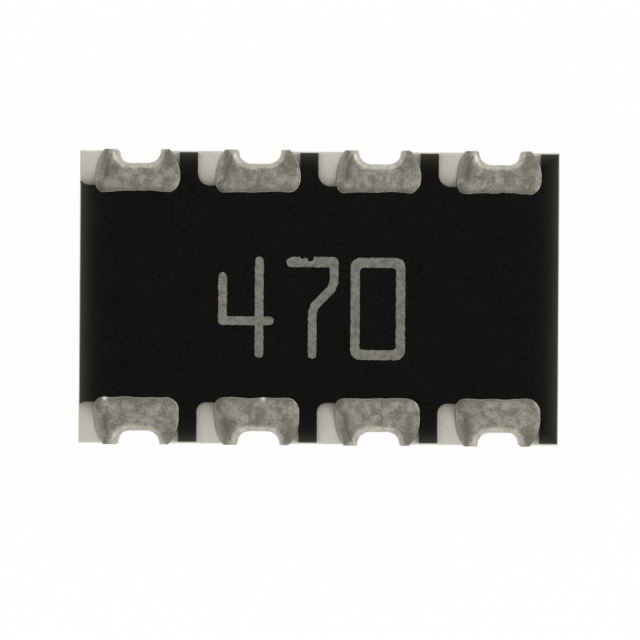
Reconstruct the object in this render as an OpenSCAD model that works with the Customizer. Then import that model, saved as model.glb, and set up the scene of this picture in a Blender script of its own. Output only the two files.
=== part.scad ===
// Chip resistor network: isolated thick-film resistors on one ceramic chip, with a row of
// plated half-oval castellations along each long side. Millimetres, +Z up. The origin is on
// the solder plane, under the middle of the chip; +X runs along the rows of terminals.

/* [Ceramic chip] */
// Length of the ceramic, along the rows of terminals
chip_length = 5.08; // [4.9:0.02:5.6]
// Width of the ceramic, from one row of terminals to the other
chip_width = 3.096; // [2.6:0.004:3.6]
// Thickness of the ceramic
chip_thickness = 0.5; // [0.3:0.01:0.8]
// Depth of the V-score, below the top face, that the chip was snapped along
score_depth = 0.14; // [0.06:0.01:0.24]
// How far the V-score sets the top edge back from the snapped side
score_setback = 0.02; // [0.01:0.005:0.03]

/* [Castellations] */
// Distance between neighbouring terminals in a row
terminal_pitch = 1.27; // [1.1:0.01:1.3]
// Radius of the round ends of the half-oval notches in the ceramic
notch_radius = 0.17; // [0.1:0.01:0.22]
// Straight length between those round ends
notch_straight = 0.18; // [0.1:0.01:0.3]

/* [Terminals] */
// Width of a terminal along its row
terminal_width = 0.9; // [0.86:0.01:0.96]
// Reach of a terminal across the top face, in from the ceramic's side
top_reach = 0.464; // [0.43:0.001:0.56]
// Reach of a terminal across the underside, in from the ceramic's side
bottom_reach = 0.5; // [0.4:0.01:0.7]
// Radius of a terminal's inner corner on the chip's left, seen from above
left_corner = 0.1; // [0.03:0.01:0.12]
// Radius of a terminal's inner corner on the chip's right
right_corner = 0.14; // [0.03:0.01:0.15]
// Radius of the flank on the chip's left, which draws a terminal in towards the chip's side
left_flank_radius = 0.55; // [0.5:0.01:0.9]
// Where that flank starts to draw in, from the ceramic's side
left_flank_start = 0.3; // [0.14:0.01:0.34]
// Radius of the flank on the chip's right
right_flank_radius = 0.4; // [0.34:0.01:0.6]
// Where that flank starts to draw in, from the ceramic's side
right_flank_start = 0.27; // [0.14:0.01:0.28]
// Thickness of the tin plating under the chip and in the castellations
plating_thickness = 0.02; // [0.01:0.005:0.04]
// How far the plating stands out from the chip's side
plating_overhang = 0.01; // [0.005:0.005:0.05]
// Radius of the plating's outer edges
edge_radius = 0.03; // [0.01:0.005:0.04]
// Radius of the corners beside a castellation's mouth, seen from above
horn_radius = 0.03; // [0.015:0.005:0.05]
// Chamfer round the upper and lower rims of a plated castellation
rim_chamfer = 0.018; // [0.008:0.002:0.018]
// How far the terminals stand above the overcoat
terminal_rise = 0.015; // [0.01:0.005:0.03]
// Print offset of the terminals along the chip
terminal_shift_x = -0.016; // [-0.02:0.002:0.02]
// Print offset of the upper ends of the terminals across the chip
terminal_shift_y = 0.03; // [-0.03:0.002:0.03]

/* [Inner electrodes] */
// Thickness of the fired silver
electrode_thickness = 0.015; // [0.01:0.001:0.02]
// Width of an electrode along the row
electrode_width = 0.8; // [0.78:0.01:0.84]
// Reach of an electrode across the top face, in from the ceramic's side
electrode_reach = 0.8; // [0.7:0.01:0.95]
// Reach of an electrode across the underside, in from the ceramic's side
electrode_under = 0.44; // [0.32:0.01:0.48]

/* [Resistor films] */
// Width of a resistor film
film_width = 0.7; // [0.5:0.01:0.8]
// Thickness of a resistor film
film_thickness = 0.012; // [0.008:0.001:0.014]
// Length of film that lies on each of its electrodes
film_overlap = 0.12; // [0.06:0.01:0.16]
// Width of the laser's trim cut
trim_kerf = 0.04; // [0.02:0.005:0.06]
// Depth of the trim cut across the film, before it turns
trim_plunge = 0.28; // [0.15:0.01:0.4]
// Length of the trim cut along the film, after it turns
trim_leg = 0.32; // [0.1:0.01:0.5]

/* [Coats] */
// Thickness of glass over the thickest part of a film
glass_cover = 0.01; // [0.008:0.001:0.012]
// Glass beyond the sides and ends of a film
glass_margin = 0.05; // [0.02:0.01:0.08]
// Thickness of the black overcoat above the ceramic
coat_thickness = 0.05; // [0.044:0.002:0.08]
// Width of the overcoat's opening at each terminal
window_width = 1.076; // [0.98:0.002:1.09]
// Reach of those openings, in from the ceramic's side
window_reach = 0.404; // [0.34:0.001:0.44]
// Radius of the inner corners of the front row's openings
front_window_corner = 0.1; // [0.04:0.01:0.2]
// Radius of the inner corners of the back row's openings, where the print has spread
back_window_corner = 0.13; // [0.04:0.01:0.2]
// Print offset of the overcoat along the chip
coat_shift_x = -0.112; // [-0.14:0.002:0.04]
// Print offset of the overcoat across the chip
coat_shift_y = 0.034; // [-0.04:0.002:0.04]

/* [Hidden] */
$fn = 48;
resistor_count = 4;
terminal_count = 2 * resistor_count;
// How far a cut runs past the surface that it opens
cut_past = 0.2;

// Levels, up from the solder plane
chip_bottom = plating_thickness + electrode_thickness;
chip_middle = chip_bottom + chip_thickness / 2;
chip_top = chip_bottom + chip_thickness;
glass_top = chip_top + electrode_thickness + film_thickness + glass_cover;
coat_top = chip_top + coat_thickness;
height = coat_top + terminal_rise;

// Distances from the middle of the chip
side_y = chip_width / 2;
end_x = chip_length / 2;
flat_y = side_y - score_setback;
flat_x = end_x - score_setback;
terminal_y = side_y + plating_overhang;
plated_radius = notch_radius - electrode_thickness - plating_thickness;
plated_mouth = notch_straight + 2 * plated_radius;
electrode_end = side_y - electrode_reach;
film_end = electrode_end + film_overlap;

// Terminals are numbered round the chip: the front row from left to right, then the back row
// from right to left, so resistor i joins terminal i and the opposite one.
function is_front(n) = n <= resistor_count;
function opposite(n) = terminal_count + 1 - n;
function column_x(i) = (i - (resistor_count + 1) / 2) * terminal_pitch;
function terminal_x(n) = column_x(is_front(n) ? n : opposite(n));

// A print that is shifted back makes the front row's terminals longer and the back row's shorter
function printed_reach(n) = top_reach + (is_front(n) ? terminal_shift_y : -terminal_shift_y);
function printed_x(n) = is_front(n) ? -terminal_shift_x : terminal_shift_x;

// The prints lean, so a terminal's two sides differ. Both rows are drawn alike and the front row
// is turned round, so the mirrored side is on the chip's left in the front row alone.
function on_left(n, mirrored) = mirrored == is_front(n);
function flank_radius(n, mirrored) = on_left(n, mirrored) ? left_flank_radius : right_flank_radius;
function flank_start(n, mirrored) = on_left(n, mirrored) ? left_flank_start : right_flank_start;
function corner_radius(n, mirrored) = on_left(n, mirrored) ? left_corner : right_corner;

// Places what is drawn for a terminal of the back row, in the chip's middle, at terminal n
module at_terminal(n) {
    translate([terminal_x(n), 0, 0])
        rotate([0, 0, is_front(n) ? 180 : 0])
            children();
}

module slab(bottom, top) {
    translate([0, 0, bottom])
        linear_extrude(top - bottom)
            children();
}

// A rectangle from its lower left corner, with round corners
module round_rectangle(corner, size, radius) {
    translate(corner) {
        translate([radius, 0]) square([size.x - 2 * radius, size.y]);
        translate([0, radius]) square([size.x, size.y - 2 * radius]);
        for (x = [radius, size.x - radius], y = [radius, size.y - radius])
            translate([x, y]) circle(radius);
    }
}

// The outline of a castellation with metal of the given thickness on its wall, open past the
// plating's outer face
module notch_outline(metal) {
    radius = notch_radius - metal;
    mouth = notch_straight + 2 * radius;
    for (side = [-1, 1])
        translate([side * notch_straight / 2, side_y]) circle(radius);
    translate([-notch_straight / 2, side_y - radius]) square([notch_straight, 2 * radius]);
    translate([-mouth / 2, side_y]) square([mouth, plating_overhang + cut_past]);
}

// What rounding takes off a corner that points up and to the left
module corner_waste(radius) {
    difference() {
        translate([-cut_past, -radius]) square(radius + cut_past);
        translate([radius, -radius]) circle(radius);
    }
}

// What the flanks at terminal n take off a print of the given width
module flank_waste(n, width) {
    for (side = [0, 1])
        mirror([side, 0])
            translate([-width / 2, side_y - flank_start(n, side == 1) + flank_radius(n, side == 1)])
                corner_waste(flank_radius(n, side == 1));
}

// The snapped block before its castellations, with the bevel that a V-score leaves along each
// side of its top face
module ceramic_block() {
    intersection() {
        rotate([90, 0, 0])
            linear_extrude(chip_width, center = true)
                scored_section(end_x);
        rotate([90, 0, 90])
            linear_extrude(chip_length, center = true)
                scored_section(side_y);
    }
}

// The block's upright section, half_width to each side: straight sides, set back above the score
module scored_section(half_width) {
    score_bottom = chip_top - score_depth;
    top_half = half_width - score_setback;
    polygon([
        [-half_width, chip_bottom], [half_width, chip_bottom], [half_width, score_bottom],
        [top_half, chip_top], [-top_half, chip_top], [-half_width, score_bottom]
    ]);
}

module substrate() {
    color([0.73, 0.71, 0.67])
        difference() {
            ceramic_block();
            for (n = [1 : terminal_count])
                at_terminal(n)
                    slab(chip_bottom - cut_past, chip_top + cut_past)
                        notch_outline(0);
        }
}

// One leg of an electrode, from the given reach out to the V-score and round the castellation
module electrode_leg(n, reach) {
    difference() {
        translate([-electrode_width / 2, side_y - reach])
            square([electrode_width, reach - score_setback]);
        notch_outline(electrode_thickness);
        flank_waste(n, electrode_width);
    }
}

// The silver on the castellation's wall
module electrode_wall() {
    intersection() {
        difference() {
            notch_outline(0);
            notch_outline(electrode_thickness);
        }
        translate([-electrode_width / 2, side_y - electrode_reach])
            square([electrode_width, electrode_reach - score_setback]);
    }
}

module electrode(n) {
    color([0.78, 0.77, 0.74])
        at_terminal(n) {
            slab(chip_top, chip_top + electrode_thickness)
                electrode_leg(n, electrode_reach);
            slab(chip_bottom - electrode_thickness, chip_top + electrode_thickness)
                electrode_wall();
            slab(chip_bottom - electrode_thickness, chip_bottom)
                electrode_leg(n, electrode_under);
        }
}

// Half of a film's section along its length: it lies on the ceramic and climbs its electrode
function film_half() = [
    [electrode_end, chip_top],
    [electrode_end, chip_top + electrode_thickness],
    [film_end, chip_top + electrode_thickness],
    [film_end, chip_top + electrode_thickness + film_thickness],
    [electrode_end - film_thickness, chip_top + electrode_thickness + film_thickness],
    [electrode_end - film_thickness, chip_top + film_thickness]
];

// An L-shaped laser cut, in from the film's right side and then along it
module trim_cut(i) {
    cut_right = film_width / 2 + glass_margin + cut_past;
    cut_left = film_width / 2 - trim_plunge;
    translate([column_x(i), 0])
        slab(chip_top - cut_past, glass_top + cut_past) {
            translate([cut_left, -trim_kerf / 2]) square([cut_right - cut_left, trim_kerf]);
            translate([cut_left, -trim_kerf / 2]) square([trim_kerf, trim_leg + trim_kerf / 2]);
        }
}

module resistor_film(i) {
    half = film_half();
    other_half = [for (k = [len(half) - 1 : -1 : 0]) [-half[k].x, half[k].y]];
    color([0.17, 0.18, 0.17])
        difference() {
            translate([column_x(i), 0, 0])
                rotate([90, 0, 90])
                    linear_extrude(film_width, center = true)
                        polygon(concat(half, other_half));
            trim_cut(i);
        }
}

module glass_coat(i) {
    size = [film_width + 2 * glass_margin, 2 * (film_end + glass_margin)];
    color([0.42, 0.5, 0.47])
        difference() {
            translate([column_x(i), 0])
                slab(chip_top, glass_top)
                    square(size, center = true);
            resistor_film(i);
            electrode(i);
            electrode(opposite(i));
            trim_cut(i);
        }
}

// The overcoat's outline: the whole top face, less an opening at each terminal
module coat_outline() {
    difference() {
        square(2 * [flat_x, flat_y], center = true);
        for (n = [1 : terminal_count])
            translate([coat_shift_x, coat_shift_y])
                at_terminal(n)
                    round_rectangle(
                        [-window_width / 2, side_y - window_reach],
                        [window_width, window_reach + cut_past],
                        is_front(n) ? front_window_corner : back_window_corner
                    );
    }
}

module coat_blank() {
    slab(chip_top, coat_top)
        coat_outline();
}

module overcoat() {
    color([0.07, 0.066, 0.06])
        difference() {
            coat_blank();
            for (n = [1 : terminal_count]) electrode(n);
            for (i = [1 : resistor_count]) {
                glass_coat(i);
                resistor_film(i);
            }
        }
}

// The outline of terminal n at the given reach: the plated castellation is cut out of it, and
// leaves a horn to each side with a round tip and a curved flank
module terminal_outline(n, reach) {
    inner_y = side_y - reach;
    difference() {
        translate([printed_x(n), 0])
            difference() {
                translate([-terminal_width / 2, inner_y])
                    square([terminal_width, terminal_y - inner_y]);
                flank_waste(n, terminal_width);
                for (side = [0, 1])
                    mirror([side, 0])
                        translate([-terminal_width / 2, inner_y])
                            mirror([0, 1]) corner_waste(corner_radius(n, side == 1));
            }
        notch_outline(electrode_thickness + plating_thickness);
        for (side = [0, 1])
            mirror([side, 0])
                translate([plated_mouth / 2, terminal_y]) corner_waste(horn_radius);
    }
}

// Everything inside the round edges of a terminal's plating, seen from its end and its side
module edge_envelope(reach) {
    depth = reach + plating_overhang;
    rotate([90, 0, 90])
        linear_extrude(terminal_width + 2 * cut_past, center = true)
            round_rectangle([side_y - reach, 0], [depth, height], edge_radius);
}

module width_envelope() {
    rotate([90, 0, 0])
        linear_extrude(2 * (terminal_y + cut_past), center = true)
            round_rectangle([-terminal_width / 2, 0], [terminal_width, height], edge_radius);
}

// The part of terminal n's blank between two levels
module terminal_blank(n, reach, bottom, top) {
    intersection() {
        slab(bottom, top) terminal_outline(n, reach);
        edge_envelope(reach);
        translate([printed_x(n), 0, 0]) width_envelope();
    }
}

// What the chamfer takes off the rim of a plated castellation, at a face on the level z = 0
module rim_waste() {
    rise = rim_chamfer + cut_past;
    flared_radius = plated_radius + rise;
    mouth_length = plating_overhang + cut_past;
    translate([0, side_y, -rim_chamfer]) {
        for (side = [-1, 1])
            translate([side * notch_straight / 2, 0, 0])
                cylinder(h = rise, r1 = plated_radius, r2 = flared_radius);
        rotate([90, 0, 90])
            linear_extrude(notch_straight, center = true)
                polygon([[0, 0], [-plated_radius, 0], [-flared_radius, rise], [0, rise]]);
        translate([0, mouth_length, 0])
            rotate([90, 0, 0])
                linear_extrude(mouth_length)
                    polygon([
                        [-plated_mouth / 2, 0], [plated_mouth / 2, 0],
                        [plated_mouth / 2 + rise, rise], [-plated_mouth / 2 - rise, rise]
                    ]);
    }
}

module terminal(n) {
    color([0.53, 0.52, 0.48])
        difference() {
            at_terminal(n)
                difference() {
                    union() {
                        terminal_blank(n, printed_reach(n), chip_middle, height);
                        terminal_blank(n, bottom_reach, 0, chip_middle);
                    }
                    translate([0, 0, height]) rim_waste();
                    mirror([0, 0, 1]) rim_waste();
                }
            difference() {
                ceramic_block();
                at_terminal(n)
                    slab(chip_bottom - cut_past, chip_top + cut_past)
                        notch_outline(0);
            }
            electrode(n);
            coat_blank();
        }
}

substrate();
for (n = [1 : terminal_count]) {
    electrode(n);
    terminal(n);
}
for (i = [1 : resistor_count]) {
    resistor_film(i);
    glass_coat(i);
}
overcoat();
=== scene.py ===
"""Looks of a chip resistor network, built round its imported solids.

A piece is modelled in millimetres and its finished mesh is scaled to metres, in the frame of the
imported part: +X runs along the rows of terminals, +Z is up, and the origin is on the solder plane
under the middle of the chip.
"""

import logging
import math
from collections.abc import Callable, Iterator
from contextlib import contextmanager
from dataclasses import dataclass, field
from enum import Enum
from functools import cached_property
from typing import NamedTuple

import bmesh
import bpy
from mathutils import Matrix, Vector

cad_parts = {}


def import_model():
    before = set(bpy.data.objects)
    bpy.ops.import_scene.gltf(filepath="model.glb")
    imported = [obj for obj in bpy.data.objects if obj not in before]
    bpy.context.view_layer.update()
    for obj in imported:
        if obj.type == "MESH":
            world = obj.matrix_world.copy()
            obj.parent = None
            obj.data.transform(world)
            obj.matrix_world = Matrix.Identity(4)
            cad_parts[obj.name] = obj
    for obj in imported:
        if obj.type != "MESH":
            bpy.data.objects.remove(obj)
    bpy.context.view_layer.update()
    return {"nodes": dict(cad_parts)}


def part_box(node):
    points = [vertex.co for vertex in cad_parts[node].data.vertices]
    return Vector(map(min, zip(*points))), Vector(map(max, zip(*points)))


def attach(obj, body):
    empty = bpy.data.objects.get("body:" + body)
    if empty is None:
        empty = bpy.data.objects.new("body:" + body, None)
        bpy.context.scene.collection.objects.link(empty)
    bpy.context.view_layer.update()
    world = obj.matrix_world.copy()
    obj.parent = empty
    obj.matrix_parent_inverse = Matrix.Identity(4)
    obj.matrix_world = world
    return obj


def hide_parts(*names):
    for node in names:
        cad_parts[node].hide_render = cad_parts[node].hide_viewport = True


Piece = bpy.types.Object
Material = bpy.types.Material
Socket = bpy.types.NodeSocket
Colour = tuple[float, float, float]

log = logging.getLogger("chip_network")

METRES = 0.001
"""One millimetre, in metres."""

NEAR = 1e-4
"""Distance within which two points count as level, in millimetres."""

BODY = "root"
"""The one body of a part with no joints."""


def fade(distance: float, reach: float) -> float:
    """How near a distance is to nought: 1 there, and nearly nothing at twice the reach."""
    return math.exp(-(distance / reach) ** 2)


class SoftDarkening(NamedTuple):
    """A soft darker place, used for painted shade and for darker patches: its share from 0 to 1, the
    distance over which it fades, and its middle.
    """

    share: float
    reach: float
    middle: float = 0.0

    def at(self, place: float) -> float:
        """How much darker the surface is made at a place."""
        return self.share * fade(place - self.middle, self.reach)


class Row(Enum):
    """The two rows of terminals; the value turns a terminal of the back row into that row."""

    FRONT = math.pi
    BACK = 0.0


class Axis(Enum):
    """The frame's axes, as unit vectors."""

    X = (1.0, 0.0, 0.0)
    Y = (0.0, 1.0, 0.0)
    Z = (0.0, 0.0, 1.0)


@dataclass(frozen=True)
class Box:
    """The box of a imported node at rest, from its lowest to its highest corner, in millimetres."""

    low: Vector
    high: Vector

    @classmethod
    def of(cls, node: str) -> "Box":
        """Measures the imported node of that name."""
        low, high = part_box(node)
        return cls(low / METRES, high / METRES)

    @property
    def middle(self) -> Vector:
        """The box's centre."""
        return (self.low + self.high) / 2

    @property
    def half(self) -> float:
        """Half the box's width along the rows of terminals."""
        return (self.high.x - self.low.x) / 2


class Bench:
    """Modelling steps on one mesh at a time, with Blender's own operators."""

    @staticmethod
    def pick(piece: Piece) -> None:
        """Makes a piece the only selected object, and the active one."""
        bpy.ops.object.select_all(action="DESELECT")
        piece.select_set(True)
        bpy.context.view_layer.objects.active = piece

    @staticmethod
    def block(name: str, low: Vector, high: Vector) -> Piece:
        """Adds a block between two corners.

        Args:
            name: Name of the new object.
            low: Lowest corner.
            high: Highest corner.

        Returns:
            The block, with its place and size in its mesh.
        """
        bpy.ops.mesh.primitive_cube_add(size=1, location=(low + high) / 2, scale=high - low)
        block = bpy.context.active_object
        block.name = name
        bpy.ops.object.transform_apply()
        return block

    @staticmethod
    @contextmanager
    def editing(piece: Piece) -> Iterator[None]:
        """Opens a piece in edit mode, with everything selected, for the length of a with block."""
        Bench.pick(piece)
        bpy.ops.object.mode_set(mode="EDIT")
        bpy.ops.mesh.select_all(action="SELECT")
        yield
        bpy.ops.object.mode_set(mode="OBJECT")

    @staticmethod
    def select_edges(piece: Piece, chosen: Callable[[Vector, Vector], bool]) -> None:
        """Selects edges of a piece in edit mode.

        Args:
            piece: The piece that is being edited.
            chosen: Says of an edge's two ends whether the edge is wanted.
        """
        bpy.ops.mesh.select_mode(type="EDGE")
        bpy.ops.mesh.select_all(action="DESELECT")
        mesh = bmesh.from_edit_mesh(piece.data)
        for edge in mesh.edges:
            edge.select_set(chosen(edge.verts[0].co, edge.verts[1].co))
        bmesh.update_edit_mesh(piece.data)

    @staticmethod
    def select_points(piece: Piece, chosen: Callable[[Vector], bool]) -> None:
        """Selects points of a piece in edit mode, with the edges and faces between them.

        Args:
            piece: The piece that is being edited.
            chosen: Says of a point whether it is wanted.
        """
        bpy.ops.mesh.select_mode(type="VERT")
        bpy.ops.mesh.select_all(action="DESELECT")
        mesh = bmesh.from_edit_mesh(piece.data)
        for point in mesh.verts:
            point.select_set(chosen(point.co))
        mesh.select_flush(True)
        bmesh.update_edit_mesh(piece.data)

    @staticmethod
    def round_level(piece: Piece, level: float, radius: float, segments: int) -> None:
        """Rounds the edges of a piece that lie on one level."""
        with Bench.editing(piece):
            Bench.select_edges(piece, lambda a, b: max(abs(a.z - level), abs(b.z - level)) < NEAR)
            bpy.ops.mesh.bevel(offset=radius, segments=segments, affect="EDGES")

    @staticmethod
    def round_uprights(piece: Piece, radius: float, segments: int = 8) -> None:
        """Rounds the upright edges of a piece."""
        with Bench.editing(piece):
            Bench.select_edges(piece, lambda a, b: (a.xy - b.xy).length < NEAR)
            bpy.ops.mesh.bevel(offset=radius, segments=segments, affect="EDGES")

    @staticmethod
    def slice(axis: Axis, low: float, high: float, step: float) -> None:
        """Cuts the mesh in edit mode into even slices, to give it points that can move.

        Args:
            axis: Direction across the slices.
            low: Where the first slice starts.
            high: Where the last slice ends.
            step: About the thickness of a slice.
        """
        normal = Vector(axis.value)
        count = round((high - low) / step)
        for k in range(1, count):
            bpy.ops.mesh.select_all(action="SELECT")
            bpy.ops.mesh.bisect(plane_co=normal * (low + (high - low) * k / count), plane_no=normal)

    @staticmethod
    def apply(piece: Piece, kind: str, **settings: object) -> None:
        """Adds a modifier to a piece and applies it.

        Args:
            piece: The piece.
            kind: Blender's name of the modifier.
            settings: Its settings.
        """
        Bench.pick(piece)
        modifier = piece.modifiers.new(kind.lower(), kind)
        for name, value in settings.items():
            setattr(modifier, name, value)
        bpy.ops.object.modifier_apply(modifier=modifier.name)

    @staticmethod
    def cut(piece: Piece, *cutters: Piece) -> None:
        """Cuts solids out of a piece, and deletes them."""
        for cutter in cutters:
            Bench.apply(piece, "BOOLEAN", operation="DIFFERENCE", solver="MANIFOLD", object=cutter)
            bpy.data.objects.remove(cutter)

    @staticmethod
    def join(first: Piece, *others: Piece) -> Piece:
        """Joins objects into the first of them, and returns it."""
        Bench.pick(first)
        for other in others:
            other.select_set(True)
        bpy.ops.object.join()
        return first

    @staticmethod
    def roughen(piece: Piece, size: float, depth: float, group: str = "",
                direction: str = "NORMAL") -> None:
        """Moves the points of a piece by a cloudy noise.

        Args:
            piece: The piece.
            size: About the width of a bump.
            depth: Height of the bumps, from the lowest to the highest.
            group: Vertex group that moves, or all of the piece.
            direction: Blender's name of the direction that points move in.
        """
        clouds = bpy.data.textures.new("clouds", "CLOUDS")
        clouds.noise_scale = size
        clouds.noise_depth = 2
        Bench.apply(piece, "DISPLACE", texture=clouds, texture_coords="LOCAL", strength=depth,
                    mid_level=0.5, vertex_group=group, direction=direction)

    @staticmethod
    def group(piece: Piece, name: str, share: Callable[[Vector], float]) -> str:
        """Gathers points of a piece in a vertex group.

        Args:
            piece: The piece.
            name: Name of the group.
            share: Says of a point how far it belongs, from 0 to 1.

        Returns:
            The group's name.
        """
        steps = 20
        members: dict[int, list[int]] = {}
        for point in piece.data.vertices:
            members.setdefault(round(steps * share(point.co)), []).append(point.index)
        group = piece.vertex_groups.new(name=name)
        for step, points in members.items():
            if step:
                group.add(points, step / steps, "REPLACE")
        return name

    @staticmethod
    def mark(piece: Piece, name: str, share: Callable[[Vector], float]) -> None:
        """Writes an attribute on each point of a piece, for its material; share gives its value."""
        marks = piece.data.attributes.new(name, "FLOAT", "POINT")
        marks.data.foreach_set("value", [share(point.co) for point in piece.data.vertices])

    @staticmethod
    def hand_over(piece: Piece, material: Material, slot: str,
                  smooth_deg: float, nodes: tuple[str, ...] = ()) -> None:
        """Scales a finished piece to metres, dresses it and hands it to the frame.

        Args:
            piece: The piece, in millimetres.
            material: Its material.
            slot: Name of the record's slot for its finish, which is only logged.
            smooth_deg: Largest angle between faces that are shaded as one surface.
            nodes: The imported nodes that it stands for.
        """
        Bench.pick(piece)
        piece.scale = (METRES, METRES, METRES)
        bpy.ops.object.transform_apply()
        bpy.ops.object.shade_smooth_by_angle(angle=math.radians(smooth_deg))
        piece.vertex_groups.clear()
        piece.data.materials.clear()
        piece.data.materials.append(material)
        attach(piece, BODY)
        if nodes:
            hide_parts(*nodes)
        log.info("%s: %d faces, slot %s", piece.name, len(piece.data.polygons), slot)


class Nodes:
    """The shader nodes of a material or of the world."""

    def __init__(self, owner: Material | bpy.types.World) -> None:
        """Opens the owner's nodes."""
        owner.use_nodes = True
        self.tree = owner.node_tree

    def fill(self, socket: Socket, value: object) -> None:
        """Links a socket to another one, or gives it a value."""
        if isinstance(value, Socket):
            self.tree.links.new(value, socket)
        else:
            socket.default_value = value

    def add(self, kind: str, inputs: dict[str | int, object], output: str | int,
            **settings: object) -> Socket:
        """Adds a node.

        Args:
            kind: Blender's name of the node, without the ShaderNode before it.
            inputs: Values, or sockets of other nodes, for its own sockets by name or number.
            output: The socket that is wanted of it.
            settings: The node's settings.

        Returns:
            That socket.
        """
        node = self.tree.nodes.new(f"ShaderNode{kind}")
        for name, value in settings.items():
            setattr(node, name, value)
        for key, value in inputs.items():
            self.fill(node.inputs[key], value)
        return node.outputs[output]

    def sum(self, *terms: tuple[Socket, object]) -> Socket:
        """Adds values up.

        Args:
            terms: Each value with its weight, a number or another value.

        Returns:
            The weighted sum.
        """
        total: object = 0.0
        for value, weight in terms:
            total = self.add("Math", {0: value, 1: weight, 2: total}, "Value", operation="MULTIPLY_ADD")
        return total

    def span(self, value: Socket, low: float, high: float, to_low: float = 0.0, to_high: float = 1.0,
             course: str = "SMOOTHSTEP") -> Socket:
        """Stretches a value from one range to another, on a course that Blender names, and holds it."""
        ends = {"From Min": low, "From Max": high, "To Min": to_low, "To Max": to_high}
        return self.add("MapRange", {"Value": value, **ends}, "Result", interpolation_type=course)


class Shader(Nodes):
    """The nodes of one material, on coordinates in millimetres."""

    def __init__(self, name: str) -> None:
        """Starts a material of that name."""
        self.material = bpy.data.materials.new(name)
        super().__init__(self.material)

    @cached_property
    def place(self) -> Socket:
        """The place on the piece, in millimetres."""
        place = self.add("TexCoord", {}, "Object")
        return self.add("Mapping", {"Vector": place, "Scale": (1 / METRES,) * 3}, "Vector")

    def set(self, **values: object) -> None:
        """Gives sockets of the surface, named with _ for a space, their values or links."""
        surface = self.tree.nodes["Principled BSDF"]
        for name, value in values.items():
            self.fill(surface.inputs[name.replace("_", " ")], value)

    def noise(self, size: float, detail: float = 3.0, roughness: float = 0.55) -> Socket:
        """Adds a cloudy noise, about 0.5 on average, with patches of about that size in millimetres."""
        return self.add("TexNoise", {"Vector": self.place, "Scale": 1 / size, "Detail": detail,
                                     "Roughness": roughness}, "Fac")

    def mark(self, name: str) -> Socket:
        """Reads the attribute of that name, which was written on the piece's points."""
        return self.add("Attribute", {}, "Fac", attribute_name=name)

    def blend(self, share: Socket, first: Socket | Colour, second: Colour) -> Socket:
        """Mixes two colours; the share is that of the second one."""
        start = first if isinstance(first, Socket) else (*first, 1.0)
        return self.add("Mix", {"Factor": share, 6: start, 7: (*second, 1.0)}, 2, data_type="RGBA")

    def bump(self, height: Socket, depth: float) -> None:
        """Gives the surface fine relief, of a height from 0 to 1 and a depth in millimetres."""
        self.set(Normal=self.add("Bump", {"Height": height, "Distance": depth * METRES}, "Normal"))


@dataclass(frozen=True)
class CeramicFinish:
    """Fired alumina: off-white, dull, with a fine grain, and darker towards the coat's edges where it is
    marked so.
    """

    pale: Colour = (0.74, 0.71, 0.625)
    darker_tone: Colour = (0.65, 0.622, 0.542)
    coat_edge_dark: Colour = (0.03, 0.028, 0.022)
    grain: float = 0.03
    cloud: float = 0.25
    relief: float = 0.004

    def material(self) -> Material:
        """Makes the material."""
        shader = Shader("fired_alumina")
        grain = shader.noise(self.grain, detail=4.0, roughness=0.7)
        mottle = shader.sum((grain, 0.5), (shader.noise(self.cloud), 0.5))
        fired = shader.blend(shader.span(mottle, 0.35, 0.65), self.darker_tone, self.pale)
        # Darker towards the coat's edges, by the share that the chip marks on its points.
        shader.set(Base_Color=shader.blend(shader.mark("darkened"), fired, self.coat_edge_dark),
                   Roughness=0.78, Specular_IOR_Level=0.3)
        shader.bump(grain, self.relief)
        return shader.material


@dataclass(frozen=True)
class TinFinish:
    """Matt tin plating: grey metal with soft patches, with painted shade, darker patches and a painted
    glint where it is marked so.
    """

    light: Colour = (0.61, 0.584, 0.492)
    dark: Colour = (0.355, 0.34, 0.287)
    darker_tone: Colour = (0.152, 0.146, 0.123)
    painted_glint: Colour = (0.97, 0.95, 0.9)
    cloud: float = 0.2
    patch: float = 0.07
    grain: float = 0.02
    relief: float = 0.0025

    def material(self) -> Material:
        """Makes the material."""
        shader = Shader("matt_tin")
        cloud = shader.noise(self.cloud, detail=2.0)
        patch = shader.noise(self.patch, roughness=0.6)
        grain = shader.noise(self.grain, roughness=0.6)
        tone = shader.span(shader.sum((cloud, 0.2), (patch, 0.4), (grain, 0.4)), 0.385, 0.615)
        plated = shader.blend(tone, self.dark, self.light)
        # The darker tone: painted shade along the terminals' edges, darker streaks and spots where marked,
        # and random darker patches.
        darkening = shader.sum((shader.mark("darker_tone"), shader.span(patch, 0.25, 0.6, 0.5, 1.0)))
        darkened = shader.blend(darkening, plated, self.darker_tone)
        # A painted glint, near white, where the tin is marked so.
        shader.set(Base_Color=shader.blend(shader.mark("painted_glint"), darkened, self.painted_glint),
                   Roughness=shader.span(patch, 0.3, 0.7, 0.36, 0.5), Metallic=1.0)
        shader.bump(shader.sum((patch, 0.5), (grain, 0.5)), self.relief)
        return shader.material


@dataclass(frozen=True)
class OvercoatFinish:
    """Black printed resin: nearly flat, with a very fine grain, and paler where it is marked thin."""

    black: Colour = (0.0019, 0.0017, 0.0012)
    worn: Colour = (0.007, 0.0064, 0.0051)
    thin: Colour = (0.058, 0.055, 0.048)
    grain: float = 0.025
    wave: float = 0.3
    relief: float = 0.0015

    def material(self) -> Material:
        """Makes the material."""
        shader = Shader("black_resin")
        grain = shader.noise(self.grain, detail=4.0, roughness=0.65)
        full = shader.blend(shader.span(grain, 0.3, 0.7), self.black, self.worn)
        gloss = shader.sum((grain, 0.5), (shader.noise(self.wave), 0.5))
        shader.set(Base_Color=shader.blend(shader.mark("thin"), full, self.thin),
                   Roughness=shader.span(gloss, 0.3, 0.7, 0.3, 0.42), Specular_IOR_Level=0.1)
        shader.bump(grain, self.relief)
        return shader.material


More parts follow.
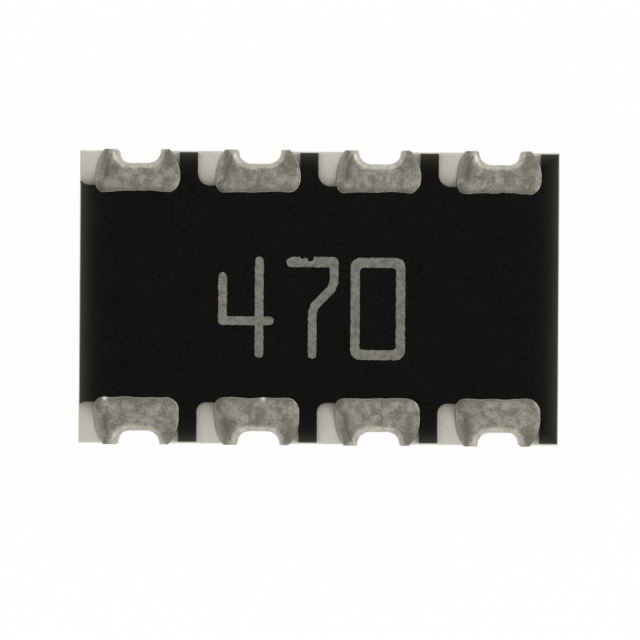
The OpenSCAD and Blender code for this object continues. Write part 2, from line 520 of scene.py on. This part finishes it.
@dataclass(frozen=True)
class InkFinish:
    """Pale printed ink: matt, thin in places."""

    full: Colour = (0.255, 0.247, 0.21)
    thin: Colour = (0.14, 0.137, 0.117)
    patch: float = 0.06
    grain: float = 0.018
    relief: float = 0.002

    def material(self) -> Material:
        """Makes the material."""
        shader = Shader("pale_ink")
        grain = shader.noise(self.grain, roughness=0.6)
        cover = shader.span(shader.sum((shader.noise(self.patch), 0.55), (grain, 0.45)), 0.35, 0.6)
        shader.set(Base_Color=shader.blend(cover, self.thin, self.full),
                   Roughness=0.7, Specular_IOR_Level=0.2)
        shader.bump(grain, self.relief)
        return shader.material


@dataclass(frozen=True)
class FilmFinish:
    """A fired inner layer, which the coats and the tin hide."""

    name: str
    first: Colour
    second: Colour
    metallic: float
    roughness: float
    grain: float = 0.03
    relief: float = 0.002

    def material(self) -> Material:
        """Makes the material."""
        shader = Shader(self.name)
        grain = shader.noise(self.grain, detail=4.0, roughness=0.6)
        shader.set(Base_Color=shader.blend(shader.span(grain, 0.3, 0.7), self.first, self.second),
                   Metallic=self.metallic, Roughness=self.roughness)
        shader.bump(grain, self.relief)
        return shader.material


@dataclass(frozen=True)
class Notch:
    """A half-oval castellation, in millimetres."""

    radius: float = 0.17
    straight: float = 0.18
    segments: int = 96
    flare_steps: int = 5

    def cutter(self, x: float, side_y: float, metal: float = 0.0, low: float = -1.0,
               high: float = 2.0) -> Piece:
        """Makes the oval prism that cuts one castellation.

        Args:
            x: Middle of the castellation along its row.
            side_y: The chip's side that it is cut into.
            metal: Thickness of metal on its wall.
            low: Where the prism starts, well below the chip unless it is given.
            high: Where it ends, well above the chip unless it is given.

        Returns:
            The prism.
        """
        right = x + self.straight / 2
        bpy.ops.mesh.primitive_cylinder_add(vertices=self.segments, radius=self.radius - metal,
                                            depth=high - low, location=(right, side_y, (low + high) / 2))
        oval = bpy.context.active_object
        bpy.ops.object.transform_apply()
        with Bench.editing(oval):
            Bench.select_points(oval, lambda p: p.x < right - self.radius / self.segments)
            bpy.ops.transform.translate(value=(-self.straight, 0, 0))
        return oval

    def flared_cutter(self, side_y: float, metal: float, height: float, rim: float, spread: float,
                      lean: float) -> Piece:
        """Makes a cutter that also rounds the rims of a plated castellation, at x = 0.

        Args:
            side_y: The chip's side.
            metal: Thickness of metal on the wall.
            height: Level of the upper rim; the lower one is at 0.
            rim: Depth of the round rims.
            spread: Their width, seen from above.
            lean: The point along the row that they widen from.

        Returns:
            The cutter, which opens out above and below.
        """
        oval = self.cutter(0.0, side_y, metal, rim, height - rim)
        half = Vector((self.straight / 2 + self.radius - metal, self.radius - metal))
        with Bench.editing(oval):
            bpy.ops.mesh.select_mode(type="FACE")
            for level, upward in ((height - rim, 1), (rim, -1)):
                Bench.select_points(oval, lambda p: abs(p.z - level) < NEAR)
                grown = 0.0
                risen = 0.0
                for k in range(1, self.flare_steps + 1):
                    angle = math.pi / 2 * k / self.flare_steps
                    rise, grow = rim * math.sin(angle), spread * (1 - math.cos(angle))
                    self._step(upward * (rise - risen), (half.x + grow) / (half.x + grown),
                               (half.y + grow) / (half.y + grown), (lean, side_y, 0))
                    risen, grown = rise, grow
                self._step(upward * rim, 1.0, 1.0, (lean, side_y, 0))
        return oval

    @staticmethod
    def _step(rise: float, across: float, along: float, centre: tuple[float, float, float]) -> None:
        """Extrudes the selected end of a cutter upwards and widens it."""
        bpy.ops.mesh.extrude_region_move(TRANSFORM_OT_translate={"value": (0, 0, rise)})
        bpy.ops.transform.resize(value=(across, along, 1), center_override=centre)


@dataclass
class CeramicChip:
    """The snapped alumina chip, with its castellations and V-scored edges."""

    notch: Notch
    columns: tuple[float, ...]
    coat_edges: tuple[float, float]
    score_depth: float = 0.14
    score_setback: float = 0.02
    edge: float = 0.008
    cell: float = 0.045
    snap_depth: float = 0.012
    snap_size: float = 0.09
    snap_start: float = 0.02
    snap_end: float = 0.01
    # How much darker the bare ceramic is made at the coat's edge, and the distance over which that fades.
    darkening: float = 0.42
    darkening_reach: float = 0.15
    box: Box = field(default_factory=lambda: Box.of("substrate"))

    def build(self, finish: CeramicFinish) -> None:
        """Models the chip and dresses it."""
        chip = Bench.block("ceramic_chip", self.box.low, self.box.high)
        self._score(chip)
        self._castellate(chip)
        for level in (self.box.low.z, self.box.high.z):
            Bench.round_level(chip, level, self.edge, segments=3)
        self._snap(chip)
        self._mark_darkened(chip)
        Bench.hand_over(chip, finish.material(), "ceramic", 35, ("substrate",))

    def _score(self, chip: Piece) -> None:
        """Sets the sides back above the V-score."""
        top = self.box.high
        level = top.z - self.score_depth
        with Bench.editing(chip):
            bpy.ops.mesh.bisect(plane_co=(0, 0, level), plane_no=Axis.Z.value)
            Bench.select_points(chip, lambda p: p.z > level + self.score_depth / 2)
            shrink = (1 - self.score_setback / top.x, 1 - self.score_setback / top.y, 1)
            bpy.ops.transform.resize(value=shrink, center_override=(0, 0, top.z))

    def _castellate(self, chip: Piece) -> None:
        """Cuts the castellations into both long sides."""
        side = self.box.high.y
        cutters = [self.notch.cutter(x, y) for x in self.columns for y in (-side, side)]
        Bench.cut(chip, Bench.join(*cutters))

    def _snap(self, chip: Piece) -> None:
        """Roughens the snapped sides below the score."""
        low, high = self.box.low, self.box.high
        level = high.z - self.score_depth
        with Bench.editing(chip):
            Bench.slice(Axis.X, low.x, high.x, self.cell)
            Bench.slice(Axis.Y, low.y, high.y, self.cell)
            Bench.slice(Axis.Z, low.z + self.edge, level, self.cell)
        start, end = low.z + self.snap_start, level - self.snap_end
        snapped = Bench.group(chip, "snapped", lambda p: float(start < p.z < end))
        Bench.roughen(chip, self.snap_size, self.snap_depth, snapped)

    def _mark_darkened(self, chip: Piece) -> None:
        """Marks how much darker the bare ceramic of the top face is made towards the coat's edges."""
        front, back = self.coat_edges
        face = self.box.high.z - 2 * self.edge

        def darkened(point: Vector) -> float:
            """How much darker the ceramic is made at a point."""
            bare = max(0.0, front - point.y, point.y - back)
            return self.darkening * math.exp(-bare / self.darkening_reach) if point.z > face else 0.0

        Bench.mark(chip, "darkened", darkened)


@dataclass
class Overcoat:
    """The black coat over the resistors, with an opening at each terminal."""

    columns: tuple[float, ...]
    side_y: float
    window_width: float = 1.076
    window_reach: float = 0.404
    front_corner: float = 0.1
    back_corner: float = 0.13
    shift_x: float = -0.112
    shift_y: float = 0.034
    edge: float = 0.018
    cell: float = 0.03
    ripple: float = 0.012
    ripple_size: float = 0.15
    ripple_start: float = 1.0
    ripple_inset: float = 0.05
    swell: float = 0.006
    swell_size: float = 0.5
    thinning: float = 0.06
    box: Box = field(default_factory=lambda: Box.of("overcoat"))

    def build(self, finish: OvercoatFinish) -> None:
        """Models the coat and dresses it."""
        coat = Bench.block("black_overcoat", self.box.low, self.box.high)
        cutters = [self._window(x, row) for x in self.columns for row in Row]
        Bench.cut(coat, Bench.join(*cutters))
        Bench.round_level(coat, self.box.high.z, self.edge, segments=4)
        self._make_uneven(coat)
        self._mark_thin(coat)
        Bench.hand_over(coat, finish.material(), "overcoat", 50, ("overcoat",))

    def inner_edge(self, row: Row) -> float:
        """Where the openings of a row end, across the chip."""
        return math.cos(row.value) * (self.side_y - self.window_reach) + self.shift_y

    def _window(self, x: float, row: Row) -> Piece:
        """Makes the round-cornered prism that opens the coat at one terminal.

        Args:
            x: Middle of the terminal along its row.
            row: The terminal's row.

        Returns:
            The prism.
        """
        outward = math.cos(row.value)
        middle_x = x + self.shift_x
        inner = self.inner_edge(row)
        corner = self.front_corner if row is Row.FRONT else self.back_corner
        outer = outward * (self.side_y + 2 * corner) + self.shift_y
        low = Vector((middle_x - self.window_width / 2, min(inner, outer), self.box.low.z - 1))
        high = Vector((middle_x + self.window_width / 2, max(inner, outer), self.box.high.z + 1))
        window = Bench.block("window", low, high)
        Bench.round_uprights(window, corner, segments=10)
        return window

    def _make_uneven(self, coat: Piece) -> None:
        """Gives the coat low swellings over its films, and printed edges that aren't quite straight."""
        low, high = self.box.low, self.box.high
        end_x, end_y = high.x - self.ripple_inset, high.y - self.ripple_inset
        with Bench.editing(coat):
            Bench.slice(Axis.X, low.x, high.x, self.cell)
            Bench.slice(Axis.Y, low.y, high.y, self.cell)
        face = Bench.group(coat, "face", lambda p: float(p.z > high.z - NEAR))
        Bench.roughen(coat, self.swell_size, self.swell, face, "Z")
        rim = Bench.group(coat, "rim", lambda p: float(
            self.ripple_start < abs(p.y) < end_y and abs(p.x) < end_x and low.z < p.z < high.z - NEAR))
        Bench.roughen(coat, self.ripple_size, self.ripple, rim, "X")

    def _mark_thin(self, coat: Piece) -> None:
        """Marks how thin the coat is: it runs out towards the chip's sides."""
        high = self.box.high
        Bench.mark(coat, "thin", lambda p: math.exp(
            -min(high.x - abs(p.x), high.y - abs(p.y)) / self.thinning))


@dataclass
class TerminalRow:
    """A row of tin terminals, which wrap from the top face through castellations to the underside."""

    row: Row
    numbers: tuple[int, ...]
    top_reach: float
    notch: Notch
    chip: Box
    left_corner: float = 0.1
    right_corner: float = 0.14
    shift_x: float = -0.016
    left_flank: tuple[float, float] = (0.3, 0.55)
    right_flank: tuple[float, float] = (0.27, 0.4)
    flank_steps: int = 12
    metal: float = 0.035
    rim_depth: float = 0.085
    rim_spread: float = 0.08
    crown_width: float = 0.05
    crown: float = 0.006
    left_slope: float = 0.05
    left_drop: float = 0.047
    voxel: float = 0.009
    soften_steps: int = 6
    lump: float = 0.09
    lump_depth: float = 0.005
    grain: float = 0.03
    grain_depth: float = 0.0016
    edge_wave: float = 0.2
    edge_wave_depth: float = 0.03
    edge_band: float = 0.1
    edge_bow: float = 0.0
    nodules: dict[int, float] = field(default_factory=dict)
    nodule_size: float = 0.02
    nodule_height: float = 0.01
    rim_lean: float = 0.04
    # Painted shade along the left, right and inner edges of the tin.
    left_shade: SoftDarkening = SoftDarkening(0.58, 0.05, 0.04)
    right_shade: SoftDarkening = SoftDarkening(0.5, 0.025)
    inner_shade: SoftDarkening = SoftDarkening(0.65, 0.035)
    # A darker spot near the right horn, and a darker streak in from the left horn.
    spot: SoftDarkening = SoftDarkening(0.5, 0.08, 0.1)
    spot_place: float = 0.76
    streak_outer: SoftDarkening = SoftDarkening(0.92, 0.042, -0.322)
    streak_inner: SoftDarkening = SoftDarkening(0.8, 0.085, -0.364)
    streak_length: float = 0.25
    streak_fade: float = 0.07

    def build(self, material: Material) -> None:
        """Models one terminal, and copies it to each place in the row.

        Args:
            material: The tin.
        """
        boxes = {number: Box.of(f"terminal_{number}") for number in self.numbers}
        master = self._plated(boxes[self.numbers[0]])
        core = self._core([box.middle.x - self.shift_x for box in boxes.values()])
        for number, box in boxes.items():
            terminal = self._copy(master, f"tin_terminal_{number}", box.middle.x - self.shift_x)
            self._roughen(terminal, box)
            self._raise_nodule(terminal, number, box)
            Bench.apply(terminal, "BOOLEAN", operation="DIFFERENCE", solver="MANIFOLD", object=core)
            self._mark_shade_and_dark_patches(terminal, box)
            Bench.hand_over(terminal, material, "tin", 40, (f"terminal_{number}",))
        bpy.data.objects.remove(core)
        bpy.data.objects.remove(master)

    @property
    def _outward(self) -> float:
        """The sign of Y on the row's outer side, which is also that of its own right side in X."""
        return math.cos(self.row.value)

    @property
    def _top_inner(self) -> float:
        """Distance of the terminals' upper inner edge from the middle of the chip."""
        return self.chip.high.y - self.top_reach

    def _plated(self, box: Box) -> Piece:
        """Models the row's terminal as a solid, at the middle of the back row.

        Args:
            box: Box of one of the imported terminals.

        Returns:
            The solid, with its castellation and its soft edges.
        """
        side, top, half = self.chip.high.y, box.high.z, box.half
        inner, outer = sorted((abs(box.low.y), abs(box.high.y)))
        middle = self._outward * self.shift_x
        blank = Bench.block("terminal", Vector((middle - half, inner, 0)),
                            Vector((middle + half, outer, top - self.crown)))
        with Bench.editing(blank):
            Bench.select_points(blank, lambda p: p.z > box.middle.z and p.y < side)
            bpy.ops.transform.translate(value=(0, self._top_inner - inner, 0))
            for way, radius in ((-self._outward, self.left_corner), (self._outward, self.right_corner)):
                Bench.select_edges(blank, lambda a, b: way * a.x > half / 2 and way * b.x > half / 2
                                   and abs(a.z - b.z) > top / 2 and max(a.y, b.y) < side)
                bpy.ops.mesh.bevel(offset=radius, segments=8, affect="EDGES")
            self._draw_in(blank, half, outer)
            self._shape_top(blank, half, top)
        Bench.cut(blank, self.notch.flared_cutter(side, self.metal, top, self.rim_depth, self.rim_spread,
                                                  self._outward * self.rim_lean))
        Bench.apply(blank, "REMESH", mode="VOXEL", voxel_size=self.voxel)
        Bench.apply(blank, "SMOOTH", factor=0.5, iterations=self.soften_steps)
        return blank

    def _draw_in(self, blank: Piece, half: float, outer: float) -> None:
        """Curves both flanks in towards the chip's side, those on the chip's right more sharply.

        Args:
            blank: The block, in edit mode.
            half: Half its width.
            outer: Its outer side.
        """
        first = self.chip.high.y - max(self.left_flank[0], self.right_flank[0])
        step = (outer - first) / self.flank_steps
        Bench.slice(Axis.Y, first, outer, step)
        for side in (-1, 1):
            for k in range(1, self.flank_steps + 1):
                level = first + k * step
                draw = self._flank(side * self._outward, self.chip.high.y - level)
                Bench.select_points(
                    blank, lambda p: side * p.x > half / 2 and abs(p.y - level) < step / 4)
                bpy.ops.transform.translate(value=(-side * draw, 0, 0))

    def _flank(self, side: float, depth: float) -> float:
        """How far a flank is drawn in.

        Args:
            side: 1 for the flank on the chip's right, -1 for the one on its left.
            depth: Distance in from the chip's side.

        Returns:
            The distance that the flank is set back from the terminal's full width.
        """
        start, radius = self.right_flank if side > 0 else self.left_flank
        run = max(0.0, start - depth)
        return radius - math.sqrt(radius ** 2 - run ** 2)

    def _shape_top(self, blank: Piece, half: float, top: float) -> None:
        """Raises the middle of the upper face, and slopes it down to bare ceramic on the chip's left.

        Args:
            blank: The block, in edit mode.
            half: Half its width.
            top: The level of the raised middle.
        """
        left = -self._outward
        bare = self.chip.high.y - self.left_flank[0]
        edge = top - self.crown

        def on_left(point: Vector, level: float) -> bool:
            """Whether a point lies on the left, over bare ceramic, at a level."""
            return left * point.x > half / 2 and point.y > bare and abs(point.z - level) < NEAR

        Bench.select_points(blank, lambda p: p.z > edge - NEAR)
        bpy.ops.mesh.inset(thickness=self.crown_width, use_even_offset=True)
        bpy.ops.transform.translate(value=(0, 0, self.crown))
        Bench.select_points(blank, lambda p: on_left(p, edge))
        bpy.ops.transform.translate(value=(0, 0, -self.left_drop))
        Bench.select_points(blank, lambda p: on_left(p, top))
        bpy.ops.transform.translate(value=(-left * self.left_slope, 0, 0))

    def _roughen(self, terminal: Piece, box: Box) -> None:
        """Gives a terminal the lumps of matt plating and an uneven inner edge.

        Args:
            terminal: The terminal, in its place.
            box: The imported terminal's box.
        """
        middle, half = box.middle.x, box.half

        def near_edge(point: Vector) -> float:
            """How near a point of the top face is to the inner edge."""
            inside = self._outward * point.y - self._top_inner
            return max(0.0, 1 - abs(inside) / self.edge_band) if point.z > self.chip.high.z else 0.0

        def bowed(point: Vector) -> float:
            """How far the bow of the inner edge takes a point along."""
            return near_edge(point) * min(1.0, ((point.x - middle) / half) ** 2)

        if self.edge_bow:
            Bench.apply(terminal, "DISPLACE", strength=-self._outward * self.edge_bow, mid_level=0.0,
                        direction="Y", vertex_group=Bench.group(terminal, "bowed_edge", bowed))
        Bench.roughen(terminal, self.edge_wave, self.edge_wave_depth,
                      Bench.group(terminal, "inner_edge", near_edge), "Y")
        Bench.roughen(terminal, self.lump, self.lump_depth)
        Bench.roughen(terminal, self.grain, self.grain_depth)

    def _raise_nodule(self, terminal: Piece, number: int, box: Box) -> None:
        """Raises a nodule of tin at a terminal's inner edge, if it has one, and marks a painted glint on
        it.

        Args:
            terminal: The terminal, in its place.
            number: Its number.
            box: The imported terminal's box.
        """
        spot = Vector((box.middle.x + self.nodules.get(number, 0.0),
                       self._outward * (self._top_inner + self.nodule_size)))

        def near(point: Vector) -> float:
            """How near a point of the top face is to the nodule."""
            if number not in self.nodules or point.z < self.chip.high.z:
                return 0.0
            return fade((point.xy - spot).length, self.nodule_size)

        # Painted glint on the nodule.
        Bench.mark(terminal, "painted_glint", near)
        Bench.apply(terminal, "DISPLACE", strength=self.nodule_height, mid_level=0.0,
                    vertex_group=Bench.group(terminal, "nodule", near))

    def _mark_shade_and_dark_patches(self, terminal: Piece, box: Box) -> None:
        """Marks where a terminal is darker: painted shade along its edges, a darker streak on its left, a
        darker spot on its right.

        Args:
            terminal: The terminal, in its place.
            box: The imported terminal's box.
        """
        middle, half = box.middle.x, box.half

        def darker_tone(point: Vector) -> float:
            """How far the darker tone shows at a point: painted shade at the edges, and the streak and the
            spot.
            """
            x = point.x - middle
            depth = self.chip.high.y - self._outward * point.y
            left = self.left_shade.at(half - self._flank(-1, depth) + x)
            right = self.right_shade.at(half - self._flank(1, depth) - x)
            inner = self.inner_shade.at(self.top_reach - depth)
            spot = self.spot.at(depth) * fade(x - self.spot_place * half, self.spot.reach)
            return min(1.0, max(left, self._streak(x, depth)) + right + inner + spot)

        Bench.mark(terminal, "darker_tone", darker_tone)

    def _streak(self, x: float, depth: float) -> float:
        """How dark the streak is that runs in from the left horn, where it is narrow and darkest.

        Args:
            x: Distance from the terminal's middle along the row.
            depth: Distance in from the chip's side.

        Returns:
            Its share at that place.
        """
        run = min(1.0, max(0.0, depth / self.streak_length))
        streak = SoftDarkening(*[a + (b - a) * run for a, b in zip(self.streak_outer, self.streak_inner)])
        return streak.at(x) * fade(max(0.0, depth - self.streak_length), self.streak_fade)

    def _core(self, columns: list[float]) -> Piece:
        """Makes the room for the chip inside the row's terminals.

        Args:
            columns: Middles of the terminals along the row.

        Returns:
            The chip's side as a solid, with its castellations.
        """
        side = self.chip.high.y
        core = Bench.block("core", Vector((self.chip.low.x, 0, self.chip.low.z)),
                           Vector((self.chip.high.x, side, self.chip.high.z)))
        cutters = [self.notch.cutter(self._outward * x, side) for x in columns]
        Bench.cut(core, Bench.join(*cutters))
        self._turn(core, 0.0)
        return core

    def _copy(self, master: Piece, name: str, x: float) -> Piece:
        """Copies the row's terminal, with a mesh of its own, to its place.

        Args:
            master: The terminal at the middle of the back row.
            name: Name of the copy.
            x: The copy's middle along the row.

        Returns:
            The copy.
        """
        Bench.pick(master)
        bpy.ops.object.duplicate()
        copy = bpy.context.active_object
        copy.name = name
        self._turn(copy, x)
        return copy

    def _turn(self, piece: Piece, x: float) -> None:
        """Turns a piece of the back row into this row, and moves it along to x."""
        piece.rotation_euler.z = self.row.value
        piece.location.x = x
        Bench.pick(piece)
        bpy.ops.object.transform_apply()


@dataclass
class ValuePrint:
    """The printed value: three plain figures on the coat, drawn with strokes of one width."""

    coat_top: float
    lefts: tuple[float, float, float] = (-1.064, -0.338, 0.33)
    bottom: float = -0.659
    height: float = 1.09
    width: float = 0.576
    stroke: float = 0.092
    roundness: float = 0.48
    rise: float = 0.006
    sunk: float = 0.016
    voxel: float = 0.0062
    soften_steps: int = 4
    wobble: float = 0.014
    wobble_size: float = 0.04
    bites: tuple[tuple[float, float, float], ...] = (
        (0.0, 0.02, 0.045), (0.158, 0.0, 0.022), (0.2, 0.016, 0.03), (0.245, -0.014, 0.034))

    def build(self, finish: InkFinish) -> None:
        """Models the figures and dresses them."""
        figures = (self._four, self._seven, self._zero)
        strokes = [stroke for figure, left in zip(figures, self.lefts) for stroke in figure(left)]
        ink = Bench.join(*strokes)
        ink.name = "value_print"
        Bench.apply(ink, "REMESH", mode="VOXEL", voxel_size=self.voxel)
        self._bite(ink)
        Bench.apply(ink, "SMOOTH", factor=0.5, iterations=self.soften_steps)
        for direction in ("X", "Y"):
            Bench.roughen(ink, self.wobble_size, self.wobble, direction=direction)
        Bench.hand_over(ink, finish.material(), "marking_ink", 60)

    def _stroke(self, left: float, start: tuple[float, float], end: tuple[float, float],
                width: float = 0.0) -> Piece:
        """Lays one stroke of ink.

        Args:
            left: The figure's left side.
            start: Where the stroke's middle line starts, from the figure's lower left corner.
            end: Where it ends.
            width: The stroke's width, if it isn't the usual one.

        Returns:
            The stroke, a bar with round ends half a stroke past both points.
        """
        width = width or self.stroke
        origin = Vector((left, self.bottom))
        first, last = origin + Vector(start), origin + Vector(end)
        run = last - first
        half = Vector(((run.length + width) / 2, width / 2, 0))
        low = Vector((-half.x, -half.y, self.coat_top - self.sunk))
        high = Vector((half.x, half.y, self.coat_top + self.rise))
        bar = Bench.block("stroke", low, high)
        Bench.round_uprights(bar, self.roundness * width)
        bar.rotation_euler.z = math.atan2(run.y, run.x)
        bar.location = (*((first + last) / 2), 0)
        bpy.ops.object.transform_apply()
        return bar

    def _four(self, left: float) -> list[Piece]:
        """Draws a four: a short left stroke, a bar and a full stem."""
        half = self.stroke / 2
        bar, stem, short, foot, past = 0.413, 0.432, 0.922, 0.02, 0.01
        return [
            self._stroke(left, (half, short - half), (half, bar)),
            self._stroke(left, (half, bar), (self.width - half + past, bar)),
            self._stroke(left, (stem, self.height - half), (stem, half + foot)),
        ]

    def _seven(self, left: float) -> list[Piece]:
        """Draws a seven: a top bar, and a stem that steps in on a slant, with soft bends."""
        half, bar = self.stroke / 2, 0.11
        right, stem, top = 0.494, 0.267, self.height - bar / 2
        start, foot, bend = top - 0.03, half + 0.015, 0.027
        path = [(right, start), (right, 0.825), (right - bend, 0.755),
                (stem + bend, 0.575), (stem, 0.5), (stem, foot)]
        bends = [self._stroke(left, start, end) for start, end in zip(path, path[1:])]
        return [self._stroke(left, (half, top), (right + half - bar / 2, top), bar)] + bends

    def _zero(self, left: float) -> list[Piece]:
        """Draws a nought: a tall ring with round corners."""
        upright, level, inset = 0.098, 0.106, 0.006
        ring_corner, hole_corner = 0.1, 0.04
        low = Vector((left, self.bottom + inset, self.coat_top - self.sunk))
        high = Vector((left + self.width, self.bottom + self.height - inset, self.coat_top + self.rise))
        ring = Bench.block("ring", low, high)
        wall = Vector((upright, level, -1))
        hole = Bench.block("hole", low + wall, high - wall)
        Bench.round_uprights(ring, ring_corner)
        Bench.round_uprights(hole, hole_corner)
        Bench.cut(ring, hole)
        return [ring]

    def _bite(self, ink: Piece) -> None:
        """Takes small bites out of the seven's bar, where the print is worn."""
        left, top = self.lefts[1], self.bottom + self.height
        for along, above, radius in self.bites:
            bpy.ops.mesh.primitive_ico_sphere_add(subdivisions=3, radius=radius, location=(
                left + along, top + above, self.coat_top))
            Bench.cut(ink, bpy.context.active_object)


@dataclass
class InnerLayers:
    """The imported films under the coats, which keep their solids."""

    finishes: dict[str, FilmFinish] = field(default_factory=lambda: {
        "electrode": FilmFinish("fired_silver", (0.56, 0.55, 0.51), (0.68, 0.67, 0.63), 1.0, 0.5),
        "resistor_film": FilmFinish("resistor_paste", (0.02, 0.021, 0.02), (0.04, 0.042, 0.04), 0.0, 0.45),
        "glass_coat": FilmFinish("fired_glass", (0.12, 0.2, 0.17), (0.16, 0.24, 0.21), 0.0, 0.2),
    })

    def dress(self, nodes: dict[str, Piece]) -> None:
        """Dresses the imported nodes.

        Args:
            nodes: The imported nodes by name.
        """
        for stem, finish in self.finishes.items():
            material = finish.material()
            for name, node in nodes.items():
                if name.startswith(stem):
                    node.data.materials.clear()
                    node.data.materials.append(material)
                    log.info("%s: packed solid, %s", name, finish.name)


@dataclass
class Studio:
    """A pale floor, a soft tent of light that is open above, and a camera straight overhead."""

    view_width: float = 6.744
    centre: tuple[float, float] = (0.0105, -0.234)
    roll_deg: float = 0.366
    focus_z: float = 0.585
    lens: float = 200.0
    sensor: float = 36.0
    floor_half: float = 240.0
    floor_gap: float = 0.002
    floor_tone: float = 0.97
    lift: float = 0.97
    wall: float = 1.06
    opening: float = 0.337
    opening_rim: tuple[float, float] = (0.6, 0.9)
    lean: float = 0.2
    lamp_place: tuple[float, float, float] = (240.0, 60.0, 190.0)
    lamp_size: float = 110.0
    lamp_light: float = 0.075

    def build(self) -> None:
        """Makes the camera, the floor and the light."""
        self._camera()
        self._floor()
        self._tent()
        self._lamp()
        bpy.context.scene.view_settings.view_transform = "Standard"

    def _camera(self) -> None:
        """Hangs the camera over the chip, with the photograph's frame and slight turn."""
        lens = bpy.data.cameras.new("camera")
        lens.lens = self.lens
        lens.sensor_width = self.sensor
        lens.clip_start = METRES
        lens.clip_end = 1.0
        camera = bpy.data.objects.new("camera", lens)
        distance = self.view_width * self.lens / self.sensor
        camera.location = Vector((*self.centre, self.focus_z + distance)) * METRES
        camera.rotation_euler.z = math.radians(self.roll_deg)
        bpy.context.scene.collection.objects.link(camera)
        bpy.context.scene.camera = camera

    def _floor(self) -> None:
        """Lays the floor just under the solder plane."""
        bpy.ops.mesh.primitive_plane_add(size=2 * self.floor_half * METRES,
                                         location=(0, 0, -self.floor_gap * METRES))
        floor = bpy.context.active_object
        floor.name = "floor"
        shader = Shader("pale_floor")
        shader.set(Base_Color=(*(self.floor_tone,) * 3, 1.0), Roughness=1.0, Specular_IOR_Level=0.0)
        self._lift(shader)
        floor.data.materials.append(shader.material)

    def _lift(self, shader: Shader) -> None:
        """Shows the floor nearly white to the camera and in metal, with its shadow kept faint.

        Args:
            shader: The floor's material.
        """
        kinds = ("Camera", "Glossy", "Transmission")
        rays = [shader.add("LightPath", {}, f"Is {kind} Ray") for kind in kinds]
        share = shader.sum(*[(ray, self.lift) for ray in rays])
        surface = shader.tree.nodes["Principled BSDF"].outputs["BSDF"]
        white = shader.add("Emission", {}, "Emission")
        lifted = shader.add("MixShader", {0: share, 1: surface, 2: white}, "Shader")
        shader.fill(shader.tree.nodes["Material Output"].inputs["Surface"], lifted)

    def _tent(self) -> None:
        """Lights the chip from all round, more from the right and less from straight above."""
        world = bpy.data.worlds.new("tent")
        bpy.context.scene.world = world
        nodes = Nodes(world)
        place = nodes.add("TexCoord", {}, "Generated")
        up, right = [nodes.add("SeparateXYZ", {"Vector": place}, axis) for axis in ("Z", "X")]
        overhead = nodes.span(up, *self.opening_rim, self.wall, self.opening)
        sideways = nodes.span(right, -1.0, 1.0, 1 - self.lean, 1 + self.lean, "LINEAR")
        background = nodes.tree.nodes["Background"].inputs
        nodes.fill(background["Color"], (1.0, 1.0, 1.0, 1.0))
        nodes.fill(background["Strength"], nodes.sum((overhead, sideways)))

    def _lamp(self) -> None:
        """Hangs a soft lamp to the right, which faces the chip from afar."""
        lamp = bpy.data.lights.new("right_lamp", "AREA")
        spot = Vector(self.lamp_place) * METRES
        lamp.size = self.lamp_size * METRES
        lamp.energy = self.lamp_light * math.pi ** 2 * spot.length_squared * spot.length / spot.z
        stand = bpy.data.objects.new("right_lamp", lamp)
        stand.location = spot
        stand.rotation_euler = (-spot).to_track_quat("-Z", "Y").to_euler()
        bpy.context.scene.collection.objects.link(stand)


def main() -> None:
    """Builds the scene: the studio, then each piece of the chip."""
    logging.basicConfig(level=logging.INFO, format="%(name)s: %(message)s")
    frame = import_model()
    Studio().build()

    chip = Box.of("substrate")
    notch = Notch()
    columns = tuple(Box.of(f"electrode_{n}").middle.x for n in range(1, 5))
    coat = Overcoat(columns, chip.high.y)
    coat_edges = (coat.inner_edge(Row.FRONT), coat.inner_edge(Row.BACK))
    CeramicChip(notch, columns, coat_edges).build(CeramicFinish())
    coat.build(OvercoatFinish())
    tin = TinFinish().material()
    TerminalRow(Row.FRONT, (1, 2, 3, 4), 0.494, notch, chip, nodules={1: -0.336, 2: 0.063}).build(tin)
    TerminalRow(Row.BACK, (5, 6, 7, 8), 0.434, notch, chip, edge_bow=0.022).build(tin)
    ValuePrint(Box.of("overcoat").high.z).build(InkFinish())
    InnerLayers().dress(frame["nodes"])


if __name__ == "__main__":
    main()
